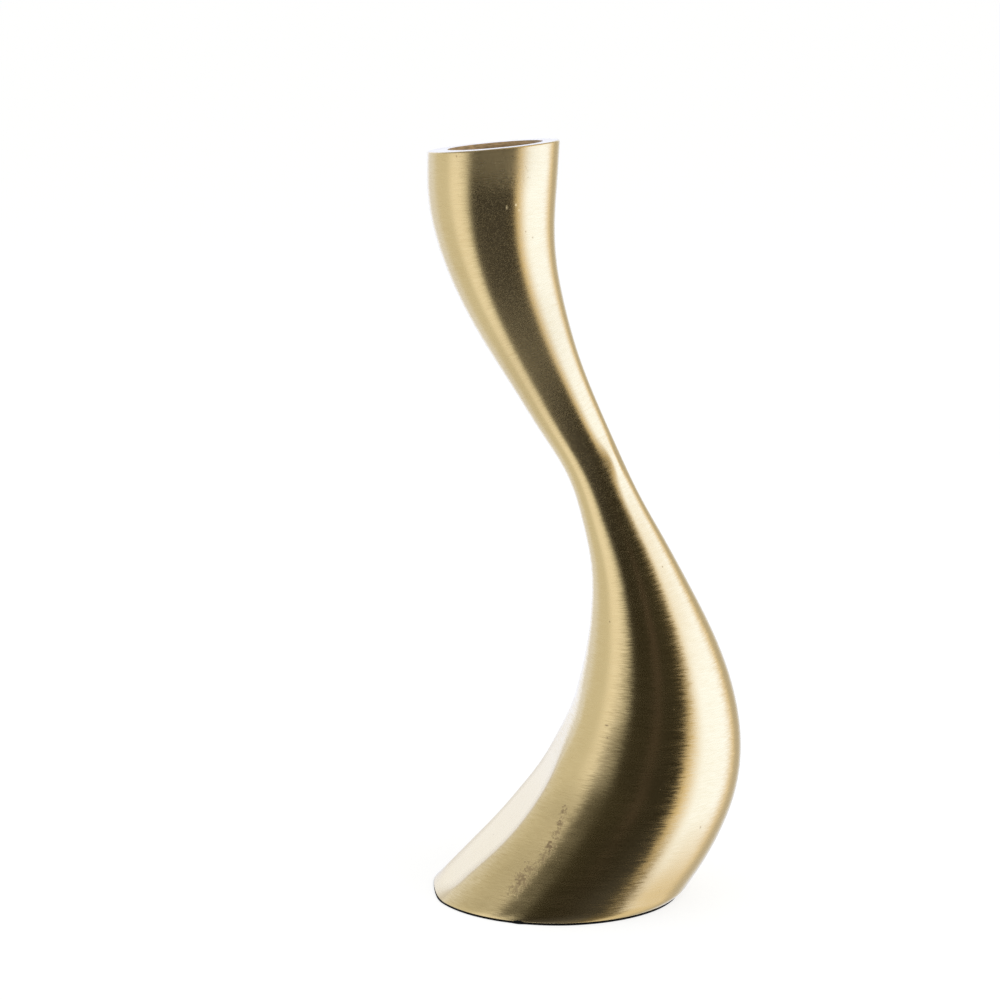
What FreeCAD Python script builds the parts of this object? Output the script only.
import FreeCAD, Part
import math
import os
import Sketcher

# Spiral candle holder: one hollow brass casting, its base plate, three screws and a felt pad.
# Millimetres. The origin is the middle of the foot on the table, +Z up, +X towards the belly.

SIZES = {
    "height": 200.0,
    "pad_thickness": 0.6,
    "pad_inset": 0.5,
    # round form of the casting
    "foot_radius": 33.5,
    "waist_radius": 7.5,
    "rim_radius": 17.2,
    "belly_side": 26.1,
    "rim_side": 16.4,
    "waist_tilt": 28.0,
    "rim_tilt": 5.1,
    "rim_edge_round": 0.5,
    # scooped face on the toe side
    "scoop_depth": 2.75,
    "scoop_turn": 5.0,
    # candle socket
    "socket_radius": 11.5,
    "socket_depth": 24.0,
    "socket_shift": 0.4,
    "mouth_chamfer": 0.8,
    # cored hollow
    "wall": 4.5,
    "core_shift": 2.5,
    "core_dome_radius": 7.0,
    # base plate and its seat
    "plate_radius": 27.0,
    "plate_thickness": 2.0,
    "plate_side": 2.5,
    "plate_clearance": 0.2,
    "ledge_width": 7.0,
    # countersunk screws
    "screw_count": 3,
    "screw_radius": 1.5,
    "screw_length": 8.0,
    "screw_head_radius": 2.8,
    "screw_point": 0.6,
    "hex_key_radius": 1.15,
    "hex_key_depth": 0.9,
    "hole_clearance": 0.05,
    "shank_clearance": 0.2,
    "tip_clearance": 1.0,
    # one overrun for every cut that passes a face
    "overrun": 3.0,
}

# Round sections from the foot up to the waist. Shares: of height, of belly_side for the
# centre, of the growth from waist to foot radius, of waist_tilt, and of scoop_depth.
LOWER_SECTION_SHARES = (
    (0.0080, 0.046, 1.006, 0.000, 0.42),
    (0.0175, 0.112, 0.999, 0.000, 0.66),
    (0.0350, 0.220, 0.978, 0.000, 0.80),
    (0.0600, 0.368, 0.945, 0.000, 0.95),
    (0.0900, 0.529, 0.897, 0.000, 1.09),
    (0.1250, 0.692, 0.837, 0.000, 1.05),
    (0.1650, 0.844, 0.751, 0.000, 0.76),
    (0.2050, 0.938, 0.670, 0.000, 0.50),
    (0.2450, 0.994, 0.581, 0.000, 0.32),
    (0.2850, 1.002, 0.494, 0.080, -0.02),
    (0.3400, 0.958, 0.364, 0.243, -0.40),
    (0.4000, 0.854, 0.223, 0.500, None),
    (0.4600, 0.722, 0.106, 0.720, None),
    (0.5200, 0.548, 0.029, 0.875, None),
)

# Round sections from the waist up to the rim. Shares: of height, of the way from belly_side
# to rim_side, of the growth from waist to rim radius, and of the way from rim to waist tilt.
UPPER_SECTION_SHARES = (
    (0.580, 0.392, 0.000, 0.986),
    (0.640, 0.540, 0.093, 1.000),
    (0.700, 0.682, 0.222, 0.900),
    (0.760, 0.811, 0.416, 0.725),
    (0.820, 0.917, 0.619, 0.476),
    (0.880, 0.983, 0.820, 0.241),
    (0.935, 1.005, 0.964, 0.109),
)

# The cored hollow follows the lower sections between these two shares of height.
CORE_FROM_SHARE = 0.09
CORE_TO_SHARE = 0.245
CORE_DOME_HEIGHT_SHARE = 0.275
CORE_DOME_SIDE_SHARE = 1.03

DEGREES_IN_TURN = 360.0
HEX_SIDES = 6

doc = FreeCAD.newDocument("candle_holder")
sheet = doc.addObject("Spreadsheet::Sheet", "sizes")


def fill_sheet():
    """Puts every driving size in the sheet under its alias."""
    for row, (alias, value) in enumerate(SIZES.items(), start=1):
        sheet.set(f"A{row}", alias)
        sheet.set(f"B{row}", str(value))
        sheet.setAlias(f"B{row}", alias)
    doc.recompute()


def size(expression):
    """Value of an expression in the sheet's own names."""
    return sheet.evalExpression(expression)


def origin_feature(body, role):
    """The body's own origin plane or axis with this role."""
    for feature in body.Origin.OriginFeatures:
        if feature.Role == role:
            return feature
    raise ValueError(f"{body.Label} has no {role}")


def new_body(name):
    """An empty body whose label names its file."""
    body = doc.addObject("PartDesign::Body", name)
    body.Label = name
    return body


def bound(target, path, expression):
    """Binds one property to an expression of sheet sizes."""
    target.setExpression(path, expression)


def attached_sketch(body, name, x="0", z="0", tilt=None):
    """A sketch parallel to the table, moved to x and z and tilted about Y, by expressions."""
    sketch = body.newObject("Sketcher::SketchObject", name)
    sketch.AttachmentSupport = [(origin_feature(body, "XY_Plane"), "")]
    sketch.MapMode = "FlatFace"
    if tilt is not None:
        lean = FreeCAD.Rotation(FreeCAD.Vector(0, -1, 0), 1)
        sketch.AttachmentOffset = FreeCAD.Placement(FreeCAD.Vector(), lean)
        bound(sketch, "AttachmentOffset.Rotation.Angle", tilt)
    bound(sketch, "AttachmentOffset.Base.x", x)
    bound(sketch, "AttachmentOffset.Base.z", z)
    return sketch


def add_circle(sketch, radius, x=None):
    """Adds a circle of a bound radius, on the sketch's origin or at a bound x from it."""
    circle = Part.Circle(FreeCAD.Vector(), FreeCAD.Vector(0, 0, 1), 1)
    index = sketch.addGeometry(circle, False)
    place = sketch.addConstraint(Sketcher.Constraint("Radius", index, 1))
    sketch.renameConstraint(place, "radius")
    bound(sketch, "Constraints.radius", radius)
    if x is None:
        sketch.addConstraint(Sketcher.Constraint("Coincident", index, 3, -1, 1))
        return
    sketch.addConstraint(Sketcher.Constraint("PointOnObject", index, 3, -1))
    place = sketch.addConstraint(Sketcher.Constraint("DistanceX", -1, 1, index, 3, 1))
    sketch.renameConstraint(place, "side")
    bound(sketch, "Constraints.side", x)


def closed_outline(sketch, points):
    """Adds straight lines through the points, joined end to end into a closed outline."""
    count = len(points)
    for index, point in enumerate(points):
        line = Part.LineSegment(FreeCAD.Vector(*point), FreeCAD.Vector(*points[(index + 1) % count]))
        sketch.addGeometry(line, False)
    for index in range(count):
        sketch.addConstraint(Sketcher.Constraint("Coincident", index, 2, (index + 1) % count, 1))


def named_distance(sketch, kind, name, places, expression):
    """Adds a named DistanceX or DistanceY between two sketch points, bound to an expression."""
    index = sketch.addConstraint(Sketcher.Constraint(kind, *places, 1))
    sketch.renameConstraint(index, name)
    bound(sketch, f"Constraints.{name}", expression)


def lower_section(row):
    """Centre, height, radius and tilt of a lower section, as expressions."""
    height_share, side_share, width_share, tilt_share = row[:4]
    z = f"sizes.height * {height_share}"
    x = f"sizes.belly_side * {side_share}"
    radius = f"sizes.waist_radius + (sizes.foot_radius - sizes.waist_radius) * {width_share}"
    tilt = f"sizes.waist_tilt * {tilt_share}" if tilt_share else None
    return x, z, radius, tilt


def upper_section(row):
    """Centre, height, radius and tilt of an upper section, as expressions."""
    height_share, side_share, width_share, tilt_share = row
    z = f"sizes.height * {height_share}"
    x = f"sizes.belly_side - (sizes.belly_side + sizes.rim_side) * {side_share}"
    radius = f"sizes.waist_radius + (sizes.rim_radius - sizes.waist_radius) * {width_share}"
    tilt = f"sizes.rim_tilt + (sizes.waist_tilt - sizes.rim_tilt) * {tilt_share}"
    return x, z, radius, tilt


RIM_HEIGHT = "sizes.height - sizes.rim_radius * sin(sizes.rim_tilt * 1 deg)"
SEAT_HEIGHT = "sizes.pad_thickness + sizes.plate_thickness"
SCREW_CIRCLE = "sizes.plate_radius - sizes.ledge_width / 2"


def body_sections():
    """Every round section of the casting from foot to rim, as expressions."""
    foot = ("0", "sizes.pad_thickness", "sizes.foot_radius", None)
    rim = ("-sizes.rim_side", RIM_HEIGHT, "sizes.rim_radius", "sizes.rim_tilt")
    lower = [lower_section(row) for row in LOWER_SECTION_SHARES]
    upper = [upper_section(row) for row in UPPER_SECTION_SHARES]
    return [foot, *lower, *upper, rim]


def loft(body, kind, name, sketches):
    """A smooth loft of this kind through the sketches."""
    feature = body.newObject(kind, name)
    feature.Profile = (sketches[0], [""])
    feature.Sections = [(sketch, [""]) for sketch in sketches[1:]]
    feature.Ruled = False
    return feature


def pocket_up(body, name, sketch, length=None):
    """A pocket upwards from the sketch, of a bound length or through all."""
    pocket = body.newObject("PartDesign::Pocket", name)
    pocket.Profile = (sketch, [""])
    pocket.Reversed = True
    if length is None:
        pocket.Type = "ThroughAll"
    else:
        bound(pocket, "Length", length)
    return pocket


def ring_of_screw_places(body, name, sketch, features):
    """Repeats the features round the sketch's own upright axis, once for each screw."""
    ring = body.newObject("PartDesign::PolarPattern", name)
    ring.Originals = features
    ring.Axis = (sketch, ["N_Axis"])
    ring.Angle = DEGREES_IN_TURN
    bound(ring, "Occurrences", "sizes.screw_count")
    body.Tip = ring
    return ring


def make_round_form(body):
    """The casting's swept form: round sections along the leaning S of its middle line."""
    sketches = []
    for index, (x, z, radius, tilt) in enumerate(body_sections()):
        sketch = attached_sketch(body, f"section_{index:02d}", x, z, tilt)
        add_circle(sketch, radius)
        sketches.append(sketch)
    loft(body, "PartDesign::AdditiveLoft", "round_form", sketches)


def scoop_sketch(body, name, z, edge):
    """One level of the scoop: a box whose right side stands at the scooped face."""
    sketch = attached_sketch(body, name, "0", z)
    lean = FreeCAD.Rotation(FreeCAD.Vector(0, 0, 1), 1)
    sketch.AttachmentOffset = FreeCAD.Placement(FreeCAD.Vector(), lean)
    bound(sketch, "AttachmentOffset.Rotation.Angle", "sizes.scoop_turn")
    reach = size("sizes.foot_radius * 2")
    closed_outline(sketch, [(-reach, -reach, 0), (0, -reach, 0), (0, reach, 0), (-reach, reach, 0)])
    for index, kind in enumerate(("Horizontal", "Vertical", "Horizontal", "Vertical")):
        sketch.addConstraint(Sketcher.Constraint(kind, index))
    half = "sizes.foot_radius + sizes.overrun"
    named_distance(sketch, "DistanceX", "edge", (1, 1, -1, 1), f"-({edge})")
    named_distance(sketch, "DistanceX", "reach", (0, 1, -1, 1), f"{half} + sizes.foot_radius")
    named_distance(sketch, "DistanceY", "front", (0, 1, -1, 1), half)
    named_distance(sketch, "DistanceY", "back", (-1, 1, 2, 1), half)
    return sketch


def make_scoop(body):
    """Cuts the shallow scooped face into the toe side, straight in depth, turned to the front."""
    low = "-sizes.overrun"
    low_edge = "-sizes.foot_radius - sizes.overrun"
    levels = [(low, low_edge)]
    for row in LOWER_SECTION_SHARES:
        if row[4] is not None:
            x, z, radius, _ = lower_section(row)
            levels.append((z, f"{x} - ({radius}) + sizes.scoop_depth * ({row[4]})"))
    sketches = []
    for index, (z, edge) in enumerate(levels):
        sketches.append(scoop_sketch(body, f"scoop_level_{index:02d}", z, edge))
    loft(body, "PartDesign::SubtractiveLoft", "scoop", sketches)


def make_hollow(body):
    """Cores the casting from below: narrow through the ledge, then a wall inside its form."""
    x, opening = "sizes.plate_side", "sizes.plate_radius - sizes.ledge_width"
    levels = [(x, "-sizes.overrun", opening), (x, SEAT_HEIGHT, opening)]
    for row in LOWER_SECTION_SHARES:
        if not CORE_FROM_SHARE <= row[0] <= CORE_TO_SHARE:
            continue
        centre, z, radius, _ = lower_section(row)
        levels.append((f"{centre} + sizes.core_shift", z, f"{radius} - sizes.wall - sizes.core_shift"))
    dome_x = f"sizes.belly_side * {CORE_DOME_SIDE_SHARE}"
    dome_z = f"sizes.height * {CORE_DOME_HEIGHT_SHARE}"
    levels.append((dome_x, dome_z, "sizes.core_dome_radius"))
    sketches = []
    for index, (centre, z, radius) in enumerate(levels):
        sketch = attached_sketch(body, f"core_level_{index:02d}", centre, z)
        add_circle(sketch, radius)
        sketches.append(sketch)
    loft(body, "PartDesign::SubtractiveLoft", "hollow", sketches)


def make_plate_seat(body):
    """Sinks the base plate's seat into the underside and drills the screw holes in the ledge."""
    seat = attached_sketch(body, "seat_outline", "sizes.plate_side", "sizes.pad_thickness - sizes.overrun")
    add_circle(seat, "sizes.plate_radius + sizes.plate_clearance")
    pocket_up(body, "plate_seat", seat, "sizes.plate_thickness + sizes.overrun")
    hole = attached_sketch(body, "screw_hole_outline", "sizes.plate_side", "sizes.pad_thickness")
    add_circle(hole, "sizes.screw_radius + sizes.hole_clearance", SCREW_CIRCLE)
    drilled = pocket_up(body, "screw_hole", hole, "sizes.screw_length + sizes.tip_clearance")
    ring_of_screw_places(body, "screw_holes", hole, [drilled])


def make_socket(body):
    """Bores the upright candle socket down from the tilted rim."""
    floor = f"{RIM_HEIGHT} - sizes.socket_depth"
    outline = attached_sketch(body, "socket_floor", "sizes.socket_shift - sizes.rim_side", floor)
    add_circle(outline, "sizes.socket_radius")
    pocket_up(body, "socket", outline)


def rim_edges(shape):
    """Names of the rim's outer edge and of the socket's mouth edge, by their size and place."""
    rim = FreeCAD.Vector(-size("sizes.rim_side"), 0, size(RIM_HEIGHT))
    found = []
    for index, edge in enumerate(shape.Edges, start=1):
        box = edge.BoundBox
        if abs(box.Center.z - rim.z) < size("sizes.rim_edge_round") and box.DiagonalLength > rim_span():
            found.append((box.XLength, f"Edge{index}"))
    found.sort()
    mouth, outer = found[0][1], found[-1][1]
    return outer, mouth


def rim_span():
    """A length that every edge round the rim exceeds."""
    return size("sizes.socket_radius")


def finish_rim(body):
    """Breaks the mouth of the socket and rounds the outer edge of the rim."""
    doc.recompute()
    base = body.Tip
    outer, mouth = rim_edges(base.Shape)
    chamfer = body.newObject("PartDesign::Chamfer", "mouth_edge")
    chamfer.Base = (base, [mouth])
    bound(chamfer, "Size", "sizes.mouth_chamfer")
    doc.recompute()
    outer, mouth = rim_edges(chamfer.Shape)
    fillet = body.newObject("PartDesign::Fillet", "rim_edge")
    fillet.Base = (chamfer, [outer])
    bound(fillet, "Radius", "sizes.rim_edge_round")


def make_body_casting():
    """The one-piece brass casting."""
    body = new_body("body_casting")
    make_round_form(body)
    make_scoop(body)
    make_hollow(body)
    make_plate_seat(body)
    make_socket(body)
    finish_rim(body)
    return body


def make_base_plate():
    """The steel disc that closes the hollow, with countersunk holes for its screws."""
    body = new_body("base_plate")
    outline = attached_sketch(body, "plate_outline", "sizes.plate_side", "sizes.pad_thickness")
    add_circle(outline, "sizes.plate_radius")
    disc = body.newObject("PartDesign::Pad", "disc")
    disc.Profile = (outline, [""])
    bound(disc, "Length", "sizes.plate_thickness")
    hole = attached_sketch(body, "hole_outline", "sizes.plate_side", "sizes.pad_thickness")
    add_circle(hole, "sizes.screw_radius + sizes.shank_clearance", SCREW_CIRCLE)
    through = pocket_up(body, "shank_hole", hole, "sizes.plate_thickness")
    sink = screw_profile(body, "countersink_profile", head_only=True)
    cone = body.newObject("PartDesign::Groove", "countersink")
    cone.Profile = (sink, [""])
    cone.ReferenceAxis = (sink, ["V_Axis"])
    cone.Angle = DEGREES_IN_TURN
    ring_of_screw_places(body, "plate_holes", hole, [through, cone])
    return body


def screw_profile(body, name, head_only=False):
    """Half outline of a countersunk screw about its upright axis, head down at the plate's face."""
    sketch = body.newObject("Sketcher::SketchObject", name)
    sketch.AttachmentSupport = [(origin_feature(body, "XZ_Plane"), "")]
    sketch.MapMode = "FlatFace"
    bound(sketch, "AttachmentOffset.Base.x", f"sizes.plate_side + {SCREW_CIRCLE}")
    bound(sketch, "AttachmentOffset.Base.y", "sizes.pad_thickness")
    head, shank = size("sizes.screw_head_radius"), size("sizes.screw_radius")
    length, point = size("sizes.screw_length"), size("sizes.screw_point")
    if head_only:
        points = [(0, 0, 0), (head, 0, 0), (0, head, 0)]
        closed_outline(sketch, points)
        sketch.addConstraint(Sketcher.Constraint("Coincident", 0, 1, -1, 1))
        sketch.addConstraint(Sketcher.Constraint("Horizontal", 0))
        sketch.addConstraint(Sketcher.Constraint("Vertical", 2))
        named_distance(sketch, "DistanceX", "head", (0, 1, 0, 2), "sizes.screw_head_radius")
        named_distance(sketch, "DistanceY", "cone", (0, 1, 2, 1), "sizes.screw_head_radius")
        return sketch
    points = [
        (0, 0, 0),
        (head, 0, 0),
        (shank, head - shank, 0),
        (shank, length - point, 0),
        (shank - point, length, 0),
        (0, length, 0),
    ]
    closed_outline(sketch, points)
    sketch.addConstraint(Sketcher.Constraint("Coincident", 0, 1, -1, 1))
    for index, kind in ((0, "Horizontal"), (2, "Vertical"), (4, "Horizontal"), (5, "Vertical")):
        sketch.addConstraint(Sketcher.Constraint(kind, index))
    rise = "sizes.screw_head_radius - sizes.screw_radius"
    named_distance(sketch, "DistanceX", "head", (0, 1, 0, 2), "sizes.screw_head_radius")
    named_distance(sketch, "DistanceX", "shank", (0, 1, 2, 1), "sizes.screw_radius")
    named_distance(sketch, "DistanceY", "neck", (0, 1, 2, 1), rise)
    named_distance(sketch, "DistanceY", "long", (0, 1, 4, 2), "sizes.screw_length")
    named_distance(sketch, "DistanceY", "point", (3, 1, 4, 1), "sizes.screw_point")
    named_distance(sketch, "DistanceX", "tip", (4, 1, 3, 1), "sizes.screw_point")
    return sketch


def hexagon_sketch(body):
    """The hex key's outline on the underside of the first screw's head."""
    x = f"sizes.plate_side + {SCREW_CIRCLE}"
    sketch = attached_sketch(body, "hex_outline", x, "sizes.pad_thickness")
    radius = size("sizes.hex_key_radius")
    corners = []
    for index in range(HEX_SIDES):
        turn = 2 * math.pi * index / HEX_SIDES
        corners.append((radius * math.cos(turn), radius * math.sin(turn), 0))
    closed_outline(sketch, corners)
    ring = sketch.addGeometry(Part.Circle(FreeCAD.Vector(), FreeCAD.Vector(0, 0, 1), radius), True)
    sketch.addConstraint(Sketcher.Constraint("Coincident", ring, 3, -1, 1))
    for index in range(HEX_SIDES):
        sketch.addConstraint(Sketcher.Constraint("PointOnObject", index, 1, ring))
    for index in range(1, HEX_SIDES):
        sketch.addConstraint(Sketcher.Constraint("Equal", 0, index))
    sketch.addConstraint(Sketcher.Constraint("PointOnObject", 0, 1, -1))
    place = sketch.addConstraint(Sketcher.Constraint("Radius", ring, radius))
    sketch.renameConstraint(place, "radius")
    bound(sketch, "Constraints.radius", "sizes.hex_key_radius")
    return sketch


def make_base_screws():
    """The countersunk screws that hold the plate, one separate solid for each."""
    body = new_body("base_screws")
    profile = screw_profile(body, "screw_outline")
    screw = body.newObject("PartDesign::Revolution", "screw")
    screw.Profile = (profile, [""])
    screw.ReferenceAxis = (profile, ["V_Axis"])
    screw.Angle = DEGREES_IN_TURN
    key = pocket_up(body, "hex_key_hole", hexagon_sketch(body), "sizes.hex_key_depth")
    middle = attached_sketch(body, "screw_ring_middle", "sizes.plate_side", "sizes.pad_thickness")
    ring_of_screw_places(body, "screws", middle, [screw, key])
    return body


def make_felt_pad():
    """The felt disc under the casting and its plate, set in from the foot's edge."""
    body = new_body("felt_pad")
    outline = attached_sketch(body, "pad_outline")
    add_circle(outline, "sizes.foot_radius - sizes.pad_inset")
    disc = body.newObject("PartDesign::Pad", "pad")
    disc.Profile = (outline, [""])
    bound(disc, "Length", "sizes.pad_thickness")
    return body


def check_document(parts):
    """Stops the build if an object failed or a part's shape is missing or not valid."""
    for item in doc.Objects:
        if "Invalid" in item.State or "Error" in item.State:
            raise RuntimeError(f"{item.Name} failed: {item.State}")
    for part in parts:
        if part.Shape.isNull() or not part.Shape.isValid() or not part.Shape.Solids:
            raise RuntimeError(f"{part.Label} has no valid solid")


def write_parts(parts):
    """Writes each part's solids to its own STEP file."""
    os.makedirs("parts", exist_ok=True)
    for part in parts:
        part.Shape.exportStep(os.path.join("parts", f"{part.Label}.step"))
        box = part.Shape.BoundBox
        print(part.Label, len(part.Shape.Solids), round(part.Shape.Volume), box)


def main():
    """Builds the parts, checks them and writes them."""
    fill_sheet()
    parts = [make_body_casting(), make_base_plate(), make_base_screws(), make_felt_pad()]
    doc.recompute()
    check_document(parts)
    write_parts(parts)


main()
